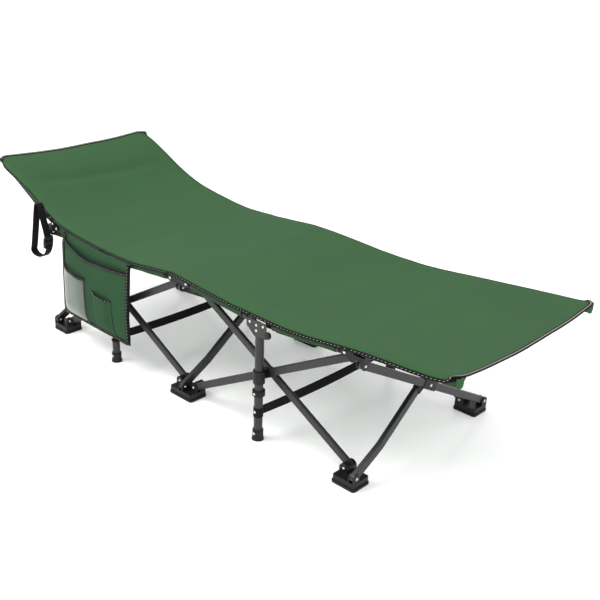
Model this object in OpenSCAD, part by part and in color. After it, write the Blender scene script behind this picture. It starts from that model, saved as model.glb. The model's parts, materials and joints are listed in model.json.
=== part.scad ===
// Folding camp cot: a bed cloth carried by hinged side rails on a frame of crossed bars.
// +X runs to the foot end, the organizer hangs on the near side (-Y), and the floor is z = 0.

/* [Frame] */
// Level distance between the two end pivots of every crossed bar
pivot_run = 600; // [560:5:640]
// Height between the two end pivots of every crossed bar
pivot_rise = 328; // [300:2:345]
// Height of the lower pivots
foot_pivot_z = 36; // [34:1:40]
// Half the distance between the two side bar pivots on a middle block
middle_pivot_x = 32; // [32:1:38]
// Distance from an end block's side bar pivot out to its cross bars
cross_bar_out = 46; // [44:1:52]
// Distance from the middle of the bed to the cross bar pivots
cross_pivot_y = 300; // [300:1:310]

/* [Bars] */
// Thickness of the bar tube
bar_t = 12.5; // [12:0.5:14.5]
// Height of the bar tube
bar_h = 23; // [22:1:27]
// Wall of the bar tube
bar_wall = 1.1; // [0.8:0.1:2]
// Radius of the pins in the bars
pin_r = 4; // [3:0.25:5]

/* [Legs] */
// Diameter of the leg tube
leg_d = 25; // [22:0.5:26]
// Height of the rail pivots on a leg
leg_pivot_z = 362; // [356:1:366]
// Distance from the middle of a leg to its rail pivots
leg_pivot_x = 25; // [24:0.5:28]

/* [Rails] */
// Diameter of the rail tube
rail_d = 20; // [18:0.5:21]
// Distance from the middle of the bed to the rails
rail_y = 302; // [302:0.5:303]
// Height of the inner rail pivots
rail_pivot_z = 385; // [383:1:386]
// Length of the opened cot
cot_length = 1900; // [1800:10:1920]
// Slope of the raised head rail
head_slope = 28; // [20:1:35]
// Slope of the foot rail
foot_slope = 4.5; // [4:0.1:10]

/* [Cloth] */
// Thickness of the bed cloth
cloth_t = 3; // [2:0.5:4]
// Width of the bed cloth
cloth_w = 628; // [610:2:632]
// Width of the organizer
organizer_w = 370; // [300:5:370]
// Height of the organizer
organizer_h = 290; // [250:5:290]

/* [Hidden] */
$fn = 48;
STATIONS = ["head", "middle", "foot"];
MODULES = ["head", "foot"];
SIDES = ["near", "far"];

running = 0.06;                    // radial clearance of a pin in its bore
open_fit = 0.1;                    // radial clearance of the wider bores
slot_gap = 0.3;                    // gap beside a bar in its slot
cheek = 3.6;                       // thickness of a block's cheek
swing_gap = 0.6;                   // gap round a bar's end
top_pivot_z = foot_pivot_z + pivot_rise;
bar_length = sqrt(pivot_run * pivot_run + pivot_rise * pivot_rise);
bar_angle = atan2(pivot_rise, pivot_run);
end_pivot_x = middle_pivot_x + pivot_run;
cross_x = end_pivot_x + cross_bar_out;
leg_x = middle_pivot_x + pivot_run / 2;
cross_z = foot_pivot_z + pivot_rise / 2;
inner_y = 260;                     // middle plane of the inner side bars
outer_y = 277;                     // middle plane of the outer side bars
leg_y = 306;                       // middle of the legs
bar_round = 4;                     // rounding of the bar tube's edges
jog = 19;                          // how far the bent cross bar steps aside
jog_start = 115;                   // straight length of a bent bar's end
jog_middle = 40;                   // half the straight middle of a bent bar
block_in = inner_y - bar_t / 2 - slot_gap - cheek;
block_out = outer_y + bar_t / 2 + slot_gap + cheek;
cheek_r = bar_h / 2 + 3;
clevis_out = cross_pivot_y + cheek_r - 2;
sole_t = 7;                        // thickness of a foot block's sole
sole_reach = 19;                   // how far the sole reaches past a side bar's pivot
base_top = foot_pivot_z - bar_h / 2 - swing_gap;
web_low = top_pivot_z + bar_h / 2 + swing_gap;
web_top = 395;                     // top of the rail brackets
rail_offset = 3;                   // inner rail pivots stand this far towards the leg
rail_pin_r = 3;
tongue_h = 18;                     // height of a rail's flat end
tongue_t = 10;                     // thickness of a rail's flat end in its bracket
thin_tongue_t = 5;                 // thickness of a rail's flat end on the leg
tongue_length = 23;
ear_t = 4.5;
ear_r = 11;
end_rail_out = 18;                 // head and foot rail pivots stand this far out
end_rail_z = 398;
end_rail_x = end_pivot_x + end_rail_out;
inner_rail_x = end_pivot_x - rail_offset;
rail_drop = rail_pivot_z - leg_pivot_z;
rail_level = leg_x - leg_pivot_x - middle_pivot_x - rail_offset;
rail_length = sqrt(rail_level * rail_level + rail_drop * rail_drop);
rail_slope = atan2(rail_drop, rail_level);
leg_bottom = 3;
leg_top = 334;
leg_wall = 1.2;
plate_t = 2;
plate_y = leg_y + leg_d / 2 + 0.1;
collar_h = 38;
collar_r = 17;
ring_z = 142;
ring_h = 16;
ring_r = 18;
foot_h = 32;
foot_r = 18;
strap_z = 75;
strap_h = 28;
strap_t = 2;
cloth_z = 396.6;
organizer_left = -585;
organizer_bottom = 98;
organizer_back = 326;              // inner face of the organizer's back panel
panel_t = 2;
book_depth = 16;
book_top = 345;
mesh_depth = 14;
organizer_front = organizer_back + 3 * panel_t + book_depth + mesh_depth;
mesh_w = 154;                      // width of the mesh pocket
mesh_top = 285;
small_from = 184;                  // the small pocket's sides, from the organizer's left
small_to = 296;
small_top = 242;
small_depth = 11;
cloth_half = end_pivot_x + 4;      // half the length of the level cloth
mid_y = (organizer_front - leg_y - foot_r) / 2;  // centres the whole cot on the origin
steel = "dimgray";
plastic = "black";
cloth = "seagreen";

function way(name) = name == "head" ? -1 : name == "foot" ? 1 : 0;

// Puts a near-side shape on its side of the bed.
module on_side(side) {
    translate([0, mid_y, 0])
        if (side == "far") mirror([0, 1, 0]) children();
        else children();
}

// Turns a foot-end shape to the head end when the name says so.
module to_end(name) {
    if (name == "head") mirror([1, 0, 0]) children();
    else children();
}

module slab(low, high) {
    translate(low) cube(high - low);
}

// A cylinder along Y from y0 to y1.
module y_rod(x, z, r, y0, y1) {
    translate([x, y0, z]) rotate([-90, 0, 0]) cylinder(r = r, h = y1 - y0);
}

// A cylinder along X from x0 to x1.
module x_rod(y, z, r, x0, x1) {
    translate([x0, y, z]) rotate([0, 90, 0]) cylinder(r = r, h = x1 - x0);
}

// ---- Bars ----

module bar_section(inset) {
    w = bar_t / 2 - inset;
    h = bar_h / 2 - inset;
    r = bar_round - inset;
    square([2 * (w - r), 2 * h], center = true);
    square([2 * w, 2 * (h - r)], center = true);
    for (a = [-1, 1], b = [-1, 1]) translate([a * (w - r), b * (h - r)]) circle(r = r);
}

// The round end of a bar: its half section turned about the pivot.
module bar_end(inset) {
    rotate([90, 0, 0]) rotate_extrude()
        intersection() {
            rotate(90) bar_section(inset);
            translate([0, -bar_t]) square([bar_h, 2 * bar_t]);
        }
}

// A bar along +X with its first pivot at the origin, and its bores as parts of its length.
module bar_bores(at_list) {
    reach = bar_t + jog;
    for (at = at_list) y_rod(at * bar_length, 0, pin_r + running, -reach, reach);
}

module straight_body(inset) {
    rotate([90, 0, 90]) linear_extrude(bar_length) bar_section(inset);
    bar_end(inset);
    translate([bar_length, 0, 0]) bar_end(inset);
}

module bar(bores = [0, 0.5, 1]) {
    difference() {
        straight_body(0);
        straight_body(bar_wall);
        bar_bores(bores);
    }
}

// The plan of a bent bar: [x, y, lean of the mitre] at each end and bend.
function bent_path(aside) =
    let (half = bar_length / 2,
         lean = atan2(aside, half - jog_middle - jog_start) / 2)
    [[0, 0, 0], [jog_start, 0, lean], [half - jog_middle, aside, lean],
     [half + jog_middle, aside, -lean], [bar_length - jog_start, 0, -lean], [bar_length, 0, 0]];

// The path moved sideways by w, with its bends on the mitres.
function beside(path, w) = [for (p = path) [p.x - w * tan(p.z), p.y + w]];
function backwards(list) = [for (i = [len(list) - 1:-1:0]) list[i]];

module bent_body(aside, inset) {
    w = bar_t / 2 - inset;
    h = bar_h / 2 - inset;
    path = bent_path(aside);
    translate([0, 0, -h]) linear_extrude(2 * h) polygon(concat(beside(path, w), backwards(beside(path, -w))));
    for (x = [0, bar_length]) y_rod(x, 0, h, -w, w);
}

module bent_bar(aside) {
    difference() {
        bent_body(aside, 0);
        bent_body(aside, bar_wall);
        bar_bores([0, 0.5, 1]);
    }
}

module side_bar(name, side, rank) {
    start = name == "head" ? -end_pivot_x : middle_pivot_x;
    falls = rank == "inner";
    color(steel) on_side(side)
        translate([start, falls ? -inner_y : -outer_y, falls ? top_pivot_z : foot_pivot_z])
            rotate([0, falls ? bar_angle : -bar_angle, 0]) bar();
}

// The straight bar carries the middle pin that the bent bar turns on.
module cross_bar(name, rank) {
    straight = rank == "straight";
    inward = name == "head" ? -1 : 1;
    pin_ends = inward * [-bar_t / 2 - 2, jog + bar_t / 2 + 2];
    pivot_z = straight ? top_pivot_z : foot_pivot_z;
    color(steel) translate([way(name) * cross_x, mid_y - cross_pivot_y, pivot_z])
        rotate([0, 0, 90]) rotate([0, straight ? bar_angle : -bar_angle, 0]) {
            if (straight) {
                bar(bores = [0, 1]);
                y_rod(bar_length / 2, 0, pin_r, min(pin_ends), max(pin_ends));
            } else {
                bent_bar(inward * jog);
            }
        }
}

// ---- Foot blocks and rail brackets ----

// Outline of a pair of cheeks: a round end joined to a level edge.
module cheek_shape(r, edge) {
    circle(r = r);
    translate([-r, min(0, edge)]) square([2 * r, abs(edge)]);
}

// Cheeks for a side bar, from one Y to another, joined to the level z = edge.
module side_cheeks(x, pivot_z, edge) {
    translate([x, -block_in, pivot_z]) rotate([90, 0, 0])
        linear_extrude(block_out - block_in) cheek_shape(cheek_r, edge - pivot_z);
}

// Cheeks for a cross bar in the plane x.
module cross_cheeks(x, pivot_z, edge) {
    half = bar_t / 2 + slot_gap + cheek;
    translate([x - half, -cross_pivot_y, pivot_z]) rotate([90, 0, 90])
        linear_extrude(2 * half) cheek_shape(cheek_r - 2, edge - pivot_z);
}

// The room that a side bar's end needs; the bar leaves towards the given way along X.
module side_slot(x, y, away, low, high) {
    near_edge = bar_h / 2 + swing_gap;
    half = bar_t / 2 + slot_gap;
    far_edge = 60;
    slab([away > 0 ? x - near_edge : x - far_edge, -y - half, low],
         [away > 0 ? x + far_edge : x + near_edge, -y + half, high]);
}

module cross_slot(x, low, high) {
    half = bar_t / 2 + slot_gap;
    slab([x - half, -cross_pivot_y - 30, low], [x + half, -block_in + 30, high]);
}

module side_pin(x, y, z) {
    half = bar_t / 2 + slot_gap;
    y_rod(x, z, pin_r, -y - half - 1, -y + half + 1);
}

module cross_pin(x, z) {
    half = bar_t / 2 + slot_gap;
    x_rod(-cross_pivot_y, z, pin_r, x - half - 1, x + half + 1);
}

module round_plate(x0, x1, y0, y1, t, r) {
    linear_extrude(t) {
        for (x = [x0 + r, x1 - r], y = [y0 + r, y1 - r]) translate([x, y]) circle(r = r);
        translate([x0 + r, y0]) square([x1 - x0 - 2 * r, y1 - y0]);
        translate([x0, y0 + r]) square([x1 - x0, y1 - y0 - 2 * r]);
    }
}

// Side bars on each block: [x, y plane, way the bar leaves].
function foot_bars(s) =
    s == "middle" ? [[-middle_pivot_x, inner_y, -1], [middle_pivot_x, outer_y, 1]]
    : s == "head" ? [[-end_pivot_x, outer_y, 1]]
    : [[end_pivot_x, inner_y, -1]];
function top_bars(s) =
    s == "middle" ? [[-middle_pivot_x, outer_y, -1], [middle_pivot_x, inner_y, 1]]
    : s == "head" ? [[-end_pivot_x, inner_y, 1]]
    : [[end_pivot_x, outer_y, -1]];

module foot_block(s, side) {
    x0 = s == "middle" ? -middle_pivot_x - sole_reach : end_pivot_x - sole_reach;
    x1 = s == "middle" ? middle_pivot_x + sole_reach : cross_x + 14;
    sole_in = block_in - 3;
    sole_out = clevis_out + 3;
    cross_at = way(s) * cross_x;
    base_margin = 3;
    high = 70;
    color(plastic) on_side(side) {
        difference() {
            union() {
                to_end(s) {
                    round_plate(x0, x1, -sole_out, -sole_in, sole_t, 9);
                    translate([0, 0, sole_t - 1])
                        round_plate(x0 + base_margin, x1 - base_margin, -clevis_out, -block_in,
                                    base_top - sole_t + 1, 5);
                }
                for (b = foot_bars(s)) side_cheeks(b[0], foot_pivot_z, sole_t);
                cross_cheeks(cross_at, foot_pivot_z, sole_t);
            }
            for (b = foot_bars(s)) side_slot(b[0], b[1], b[2], base_top, high);
            cross_slot(cross_at, base_top, high);
        }
        for (b = foot_bars(s)) side_pin(b[0], b[1], foot_pivot_z);
        cross_pin(cross_at, foot_pivot_z);
    }
}

// The two ears that hold the rails, as one plate outline in X and Z.
module ear_outline(s) {
    if (s == "middle") {
        for (a = [-1, 1]) translate([a * (middle_pivot_x + rail_offset), rail_pivot_z]) circle(r = ear_r);
        translate([-middle_pivot_x, rail_pivot_z - ear_r]) square([2 * middle_pivot_x, 2 * ear_r - 1]);
    } else {
        translate([inner_rail_x, rail_pivot_z]) circle(r = ear_r);
        translate([end_rail_x, end_rail_z]) circle(r = ear_r);
        translate([inner_rail_x, rail_pivot_z - ear_r]) square([end_rail_out + rail_offset, 2 * ear_r]);
        translate([inner_rail_x, rail_pivot_z - ear_r]) square([cross_x - inner_rail_x + 11, ear_r + 3]);
    }
}

module ears(s, y0, y1) {
    to_end(s) translate([0, -y0, 0]) rotate([90, 0, 0]) linear_extrude(y1 - y0) ear_outline(s);
}

// Rail pivots on each bracket: [x, z].
function rail_pivots(s) =
    s == "middle" ? [for (a = [-1, 1]) [a * (middle_pivot_x + rail_offset), rail_pivot_z]]
    : [[way(s) * inner_rail_x, rail_pivot_z], [way(s) * end_rail_x, end_rail_z]];

// A rectangle from one corner to the other, in X and Z.
module window(low, high) {
    translate(low) square(high - low);
}

// The room that the rails' flat ends and tubes need between the ears, in X and Z.
module room_outline(s) {
    turn_r = tongue_h / 2 + 0.8;
    low = top_pivot_z - 40;
    if (s == "middle") {
        for (a = [-1, 1]) {
            x = a * (middle_pivot_x + rail_offset);
            translate([x, rail_pivot_z]) circle(r = turn_r);
            window([min(x, x + a * 40), low], [max(x, x + a * 40), rail_pivot_z + turn_r]);
            window([min(x - a * turn_r, x), low], [max(x - a * turn_r, x), rail_pivot_z]);
        }
    } else {
        translate([inner_rail_x, rail_pivot_z]) circle(r = turn_r);
        window([inner_rail_x - 40, low], [inner_rail_x + turn_r, rail_pivot_z]);
        window([inner_rail_x - 40, rail_pivot_z - 1], [inner_rail_x, rail_pivot_z + turn_r]);
        translate([end_rail_x, end_rail_z]) {
            circle(r = turn_r);
            window([-turn_r, 0], [60, 30]);
            rotate(foot_slope) window([-1, -turn_r - 0.4], [60, 30]);
        }
    }
}

module rail_room(s) {
    gap = 0.3;
    half = tongue_t / 2 + gap;
    to_end(s) translate([0, half - rail_y, 0]) rotate([90, 0, 0]) linear_extrude(2 * half) room_outline(s);
}

module rail_bracket(s, side) {
    x0 = s == "middle" ? -middle_pivot_x - cheek_r : end_pivot_x - cheek_r;
    x1 = s == "middle" ? middle_pivot_x + cheek_r : cross_x + 11;
    cross_at = way(s) * cross_x;
    ear_in = rail_y - tongue_t / 2 - ear_t;
    ear_out = rail_y + tongue_t / 2 + ear_t;
    low = top_pivot_z - 60;
    deck_top = s == "middle" ? web_top : rail_pivot_z + ear_r - 2;
    color(plastic) on_side(side) {
        difference() {
            union() {
                to_end(s) slab([x0, -block_out, web_low], [x1, -block_in, deck_top]);
                for (b = top_bars(s)) side_cheeks(b[0], top_pivot_z, web_low + 4);
                cross_cheeks(cross_at, top_pivot_z, web_low + 4);
                ears(s, block_out - 2, ear_out);
            }
            for (b = top_bars(s)) side_slot(b[0], b[1], b[2], low, web_low);
            cross_slot(cross_at, low, web_low);
            rail_room(s);
            // Clears the rail tubes beside the inner ear.
            for (b = top_bars(s))
                slab([b[0] - 60, -ear_in, low], [b[0] + 60, -block_out, top_pivot_z - cheek_r]);
        }
        for (b = top_bars(s)) side_pin(b[0], b[1], top_pivot_z);
        cross_pin(cross_at, top_pivot_z);
        for (p = rail_pivots(s)) y_rod(p[0], p[1], rail_pin_r, -ear_out + 1, -ear_in - 1);
    }
}

// ---- Legs ----

module leg_plate() {
    half = leg_pivot_x + 12;
    top = leg_pivot_z + 10;
    low = leg_pivot_z - 34;
    translate([0, -plate_y, 0]) rotate([90, 0, 0]) linear_extrude(plate_t)
        polygon([[-half, top], [half, top], [half, low], [-11, low], [-half, leg_pivot_z - 12]]);
}

module leg(name, side) {
    color(steel) on_side(side) to_end(name) {
        difference() {
            translate([leg_x, -leg_y, leg_bottom]) cylinder(d = leg_d, h = leg_top - leg_bottom);
            translate([leg_x, -leg_y, leg_bottom - 1])
                cylinder(d = leg_d - 2 * leg_wall, h = leg_top - leg_bottom + 2);
        }
        // The flattened top of the tube, behind the plate.
        slab([leg_x - 11, -plate_y, leg_top - 10], [leg_x + 11, -plate_y + 6.5, leg_pivot_z + 7]);
        translate([leg_x, 0, 0]) leg_plate();
    }
}

module leg_fittings(name, side) {
    color(plastic) on_side(side) to_end(name) translate([leg_x, -leg_y, 0]) {
        difference() {
            union() {
                cylinder(r1 = foot_r, r2 = foot_r - 2.4, h = 12);
                cylinder(r = foot_r - 2.4, h = foot_h);
            }
            translate([0, 0, leg_bottom]) cylinder(d = leg_d, h = foot_h);
        }
        difference() {
            translate([0, 0, ring_z]) cylinder(r = ring_r, h = ring_h);
            translate([0, 0, ring_z - 1]) cylinder(d = leg_d, h = ring_h + 2);
        }
    }
}

module leg_collar(name, side) {
    reach = leg_y - collar_r + 1;
    end_head = inner_y - bar_t / 2 - 2;
    color(plastic) on_side(side) to_end(name) {
        difference() {
            translate([leg_x, -leg_y, cross_z - collar_h / 2]) cylinder(r = collar_r, h = collar_h);
            translate([leg_x, -leg_y, cross_z - collar_h])
                cylinder(d = leg_d + 2 * running, h = 2 * collar_h);
        }
        y_rod(leg_x, cross_z, pin_r, -reach, -end_head);
        y_rod(leg_x, cross_z, 8, -reach, -outer_y - bar_t / 2 - slot_gap);
    }
}

// ---- Rails ----

module tongue(t, length) {
    rotate([90, 0, 0]) translate([0, 0, -t / 2]) linear_extrude(t) {
        circle(d = tongue_h);
        translate([0, -tongue_h / 2]) square([length, tongue_h]);
    }
}

// A rail along +X from its bracket pivot. leg_end is the Y of its flat end on the leg, or undef.
module rail(length, leg_end) {
    on_leg = !is_undef(leg_end);
    tube_start = tongue_length - 3;
    tube_end = on_leg ? length - tube_start - 2 : length;
    difference() {
        union() {
            tongue(tongue_t, tongue_length);
            if (on_leg)
                translate([length, leg_end, 0]) mirror([1, 0, 0]) tongue(thin_tongue_t, tongue_length + 2);
            difference() {
                translate([tube_start, 0, 0]) rotate([0, 90, 0])
                    cylinder(d = rail_d, h = tube_end - tube_start);
                translate([tongue_length + 2, 0, 0]) rotate([0, 90, 0])
                    cylinder(d = rail_d - 2, h = tube_end - tongue_length - (on_leg ? 6 : 4));
            }
        }
        y_rod(0, 0, rail_pin_r + running, -tongue_t, tongue_t);
        if (on_leg)
            y_rod(length, 0, rail_pin_r + open_fit, leg_end - thin_tongue_t, leg_end + thin_tongue_t);
    }
}

function end_slope(name) = name == "head" ? head_slope : foot_slope;
function end_rail_length(name) =
    (cot_length / 2 - end_rail_x - rail_d / 2 * sin(end_slope(name))) / cos(end_slope(name));

module end_rail(name, side) {
    color(steel) on_side(side) to_end(name)
        translate([end_rail_x, -rail_y, end_rail_z])
            rotate([0, -end_slope(name), 0]) rail(end_rail_length(name));
}

// Outer: from an end bracket in to the leg. Inner: from the middle bracket out to the leg.
module leg_rail(rank, name, side) {
    outer = rank == "outer";
    thin_step = thin_tongue_t / 2 + 0.75;
    color(steel) on_side(side) to_end(name)
        translate([outer ? inner_rail_x : middle_pivot_x + rail_offset, -rail_y, rail_pivot_z])
            if (outer) mirror([1, 0, 0]) rotate([0, rail_slope, 0]) rail(rail_length, thin_step);
            else rotate([0, rail_slope, 0]) rail(rail_length, -thin_step);
}

// ---- Soft pieces ----

module cloth_panel(x0, x1) {
    color(cloth) translate([0, mid_y, 0])
        slab([x0, -cloth_w / 2, cloth_z], [x1, cloth_w / 2, cloth_z + cloth_t]);
}

module end_cloth(name) {
    rise = rail_d / 2 + 0.8;
    start = 5;
    overhang = 2;
    color(cloth) translate([0, mid_y, 0]) to_end(name)
        translate([end_rail_x, 0, end_rail_z]) rotate([0, -end_slope(name), 0])
            slab([start, -cloth_w / 2, rise],
                 [end_rail_length(name) + overhang, cloth_w / 2, rise + cloth_t]);
}

module leg_strap(name) {
    slack = 0.3;
    inner_r = leg_d / 2 + slack;
    color(plastic) translate([0, mid_y, 0]) to_end(name) difference() {
        union() {
            for (a = [-1, 1]) translate([leg_x, a * leg_y, strap_z])
                cylinder(r = inner_r + strap_t, h = strap_h);
            slab([leg_x - strap_t / 2, -leg_y, strap_z], [leg_x + strap_t / 2, leg_y, strap_z + strap_h]);
        }
        for (a = [-1, 1]) translate([leg_x, a * leg_y, strap_z - 1]) cylinder(r = inner_r, h = strap_h + 2);
    }
}

// A pocket on the front of the organizer, open at the top.
module pocket(x0, x1, y_in, depth, z0, z1) {
    difference() {
        slab([x0, -y_in - depth - panel_t, z0], [x1, -y_in + 0.01, z1]);
        slab([x0 + panel_t, -y_in - depth, z0 + panel_t], [x1 - panel_t, -y_in + 1, z1 + 1]);
    }
}

module organizer() {
    left = organizer_left;
    right = left + organizer_w;
    back = organizer_back;
    front = back + panel_t + book_depth + panel_t;
    color(cloth) translate([0, mid_y, 0]) {
        slab([left, -back - panel_t, organizer_bottom], [right, -back, organizer_bottom + organizer_h]);
        pocket(left, right, back + panel_t, book_depth, organizer_bottom, book_top);
        pocket(left, left + mesh_w, front, mesh_depth, organizer_bottom + 10, mesh_top);
        pocket(left + small_from, left + small_to, front, small_depth, organizer_bottom + 6, small_top);
    }
}

// The hanging loop that ties the folded cot: outline in X and Z.
strap_top = [-700, 458];
module loop_outline(inset) {
    a = strap_top + [-12 + inset, -inset];
    b = strap_top + [12 - inset, -inset];
    low_left = [-762 + inset, 276 + inset];
    low_right = [-690 - inset, 268 + inset];
    side_right = [-648 - inset, 312];
    polygon([a, low_left, low_right, side_right, b]);
}

module storage_strap() {
    width = 25;
    color(plastic) translate([0, mid_y - 316, 0]) rotate([90, 0, 0]) linear_extrude(width)
        difference() {
            loop_outline(0);
            loop_outline(2.4);
        }
}

module storage_buckle() {
    color(plastic) translate([-642, mid_y - 312, 330]) rotate([0, -20, 0])
        slab([0, -33, -32], [9, 0, 32]);
}

// ---- Every node by its name ----

for (s = STATIONS) for (d = SIDES) {
    foot_block(s, d);
    rail_bracket(s, d);
}
for (m = MODULES) for (d = SIDES) {
    for (k = ["inner", "outer"])
        side_bar(m, d, k);
    leg(m, d);
    leg_fittings(m, d);
    leg_collar(m, d);
    end_rail(m, d);
    for (k = ["outer", "inner"])
        leg_rail(k, m, d);
}
for (s = STATIONS) for (k = ["straight", "bent"])
    cross_bar(s, k);
end_cloth("head");  // bed_cloth_head
cloth_panel(-cloth_half, -0.5);  // bed_cloth_middle_head
cloth_panel(0.5, cloth_half);  // bed_cloth_middle_foot
end_cloth("foot");  // bed_cloth_foot
leg_strap("head");  // leg_strap_head
leg_strap("foot");  // leg_strap_foot
organizer();
storage_strap();
storage_buckle();
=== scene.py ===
import json
import math

import bmesh
import bpy
import numpy as np
from mathutils import Matrix, Vector, noise


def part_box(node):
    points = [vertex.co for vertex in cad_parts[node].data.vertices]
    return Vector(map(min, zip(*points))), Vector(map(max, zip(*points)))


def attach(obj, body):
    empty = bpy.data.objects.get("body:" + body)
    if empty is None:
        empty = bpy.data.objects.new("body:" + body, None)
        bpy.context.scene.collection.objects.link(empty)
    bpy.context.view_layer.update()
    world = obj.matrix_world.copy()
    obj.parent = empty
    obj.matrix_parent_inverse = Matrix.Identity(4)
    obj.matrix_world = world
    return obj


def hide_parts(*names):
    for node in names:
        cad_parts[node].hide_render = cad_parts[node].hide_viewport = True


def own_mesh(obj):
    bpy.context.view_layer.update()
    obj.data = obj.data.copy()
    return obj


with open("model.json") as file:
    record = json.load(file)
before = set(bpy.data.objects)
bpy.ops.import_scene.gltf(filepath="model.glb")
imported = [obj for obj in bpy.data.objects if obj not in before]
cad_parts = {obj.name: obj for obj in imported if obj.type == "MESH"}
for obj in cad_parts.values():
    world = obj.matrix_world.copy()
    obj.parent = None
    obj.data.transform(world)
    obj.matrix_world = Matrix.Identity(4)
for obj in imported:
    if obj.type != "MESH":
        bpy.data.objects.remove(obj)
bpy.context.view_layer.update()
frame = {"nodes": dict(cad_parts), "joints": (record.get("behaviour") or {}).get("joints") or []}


scene = bpy.context.scene
NODES = frame["nodes"]
JOINTS = {j["name"]: j for j in frame["joints"]}
MODULES = ("head", "foot")
STATIONS = ("head", "middle", "foot")
SIDES = ("near", "far")
WAY = {"head": -1, "middle": 0, "foot": 1, "near": -1, "far": 1}


def pivot(name):
    return np.array(JOINTS[name]["pos_m"], float)


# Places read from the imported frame, in metres. The bed's middle line is y = MID, and a half width or a
# half length is measured from the middle; the head end lies towards -x and the near side towards -y.
MID = (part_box("leg_head_near")[0].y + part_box("leg_head_far")[1].y) / 2
RAIL_Y = MID - pivot("head_near_outer_rail_hinge")[1]
T_X = pivot("foot_near_outer_rail_hinge")[0]
T_Z = pivot("foot_near_outer_rail_hinge")[2]
END_X = pivot("foot_near_end_rail_hinge")[0]
END_Z = pivot("foot_near_end_rail_hinge")[2]
MID_X = pivot("foot_near_inner_rail_hinge")[0]
LEG_X = (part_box("leg_fittings_foot_near")[0].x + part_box("leg_fittings_foot_near")[1].x) / 2
LEG_Y = MID - (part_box("leg_fittings_foot_near")[0].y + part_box("leg_fittings_foot_near")[1].y) / 2
CROSS_X = pivot("foot_cross_bent_foot_pivot")[0]
CROSS_Y = MID - pivot("foot_cross_bent_foot_pivot")[1]
FOOT_Z = pivot("foot_cross_bent_foot_pivot")[2]
TOP_Z = pivot("foot_cross_straight_top_pivot")[2]
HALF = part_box("rail_end_foot_near")[1].x
EAR_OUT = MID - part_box("rail_bracket_middle_near")[0].y

# Sizes that part.scad also has, repeated because this script can't read it.
RAIL_R = 0.010
LEG_PIVOT_X = 0.025
LEG_PIVOT_Z = 0.362
BAR_REACH_X = 0.6
SIDE_PIN_X = 0.032
BLOCK_IN = 0.24985
CHEEK_OUT = 0.28715
PLATE_OUT = LEG_Y + 0.0146
HEAD_SLOPE = math.radians(28)
FOOT_SLOPE = math.radians(4.5)

# ---------------------------------------------------------------- camera

CAM_AT = Vector((1.8514, -1.8277, 1.3525))
CAM_TO = Vector((-0.0189, MID, 0.0795))
CAM_ROLL = 0.0149
SENSOR = 36
FOCAL = 890.6 / 600  # in picture widths
forward = (CAM_TO - CAM_AT).normalized()
level = forward.cross(Vector((0, 0, 1))).normalized()
upright = level.cross(forward)
right = math.cos(CAM_ROLL) * level + math.sin(CAM_ROLL) * upright
up = math.cos(CAM_ROLL) * upright - math.sin(CAM_ROLL) * level
camera = bpy.data.objects.new("camera", bpy.data.cameras.new("camera"))
scene.collection.objects.link(camera)
camera.matrix_world = Matrix.Translation(CAM_AT) @ Matrix((right, up, -forward)).transposed().to_4x4()
camera.data.sensor_width = SENSOR
camera.data.lens = SENSOR * FOCAL
camera.data.shift_x = 0.0849
camera.data.shift_y = 0.0699
scene.camera = camera

# ---------------------------------------------------------------- materials

WAVE_TURNS = 20  # Blender's wave texture turns through 20 radians per unit at scale 1
RIB_SHARE = 0.35


class Build:
    """A short way to write a node material."""

    def __init__(self, name):
        self.mat = bpy.data.materials.new(name)
        self.mat.use_nodes = True
        self.tree = self.mat.node_tree
        self.shader = self.tree.nodes["Principled BSDF"]

    def node(self, kind, inputs=None, **settings):
        n = self.tree.nodes.new("ShaderNode" + kind)
        for key, value in settings.items():
            setattr(n, key, value)
        for key, value in (inputs or {}).items():
            if isinstance(value, bpy.types.NodeSocket):
                self.tree.links.new(value, n.inputs[key])
            else:
                n.inputs[key].default_value = value
        return n

    def coords(self, kind="Object"):
        return self.node("TexCoord").outputs[kind]

    def noise(self, scale, detail=3.0, at=None, rough=0.5):
        at = at or self.coords()
        n = self.node("TexNoise", {"Vector": at, "Scale": scale, "Detail": detail, "Roughness": rough})
        return n.outputs["Fac"]

    def stretch(self, at, factors):
        return self.node("Mapping", {"Vector": at, "Scale": factors}).outputs["Vector"]

    def range(self, value, low, high, start=0.3, end=0.7):
        return self.node("MapRange", {"Value": value, "From Min": start, "From Max": end,
                                      "To Min": low, "To Max": high}).outputs["Result"]

    def math(self, operation, a, b=0.5):
        return self.node("Math", {0: a, 1: b}, operation=operation).outputs[0]

    def ramp(self, value, colours):
        n = self.node("ValToRGB", {"Fac": value})
        stops = n.color_ramp.elements
        while len(stops) < len(colours):
            stops.new(0.5)
        for stop, (at, colour) in zip(stops, colours):
            stop.position = at
            stop.color = (*colour, 1)
        return n.outputs["Color"]

    def bump(self, height, distance, strength=1.0, normal=None):
        inputs = {"Height": height, "Distance": distance, "Strength": strength}
        if normal:
            inputs["Normal"] = normal
        return self.node("Bump", inputs).outputs["Normal"]

    def set(self, **values):
        for key, value in values.items():
            socket = self.shader.inputs[key.replace("_", " ")]
            if isinstance(value, bpy.types.NodeSocket):
                self.tree.links.new(value, socket)
            else:
                socket.default_value = value
        return self.mat


def shade(colour, factor):
    """A colour made darker or lighter."""
    return tuple(min(1.0, c * factor) for c in colour)


def threads(b, flat, scale, direction):
    inputs = {"Vector": flat, "Scale": scale, "Distortion": 0.15, "Detail Scale": 3.0}
    return b.node("TexWave", inputs, bands_direction=direction).outputs["Fac"]


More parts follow.
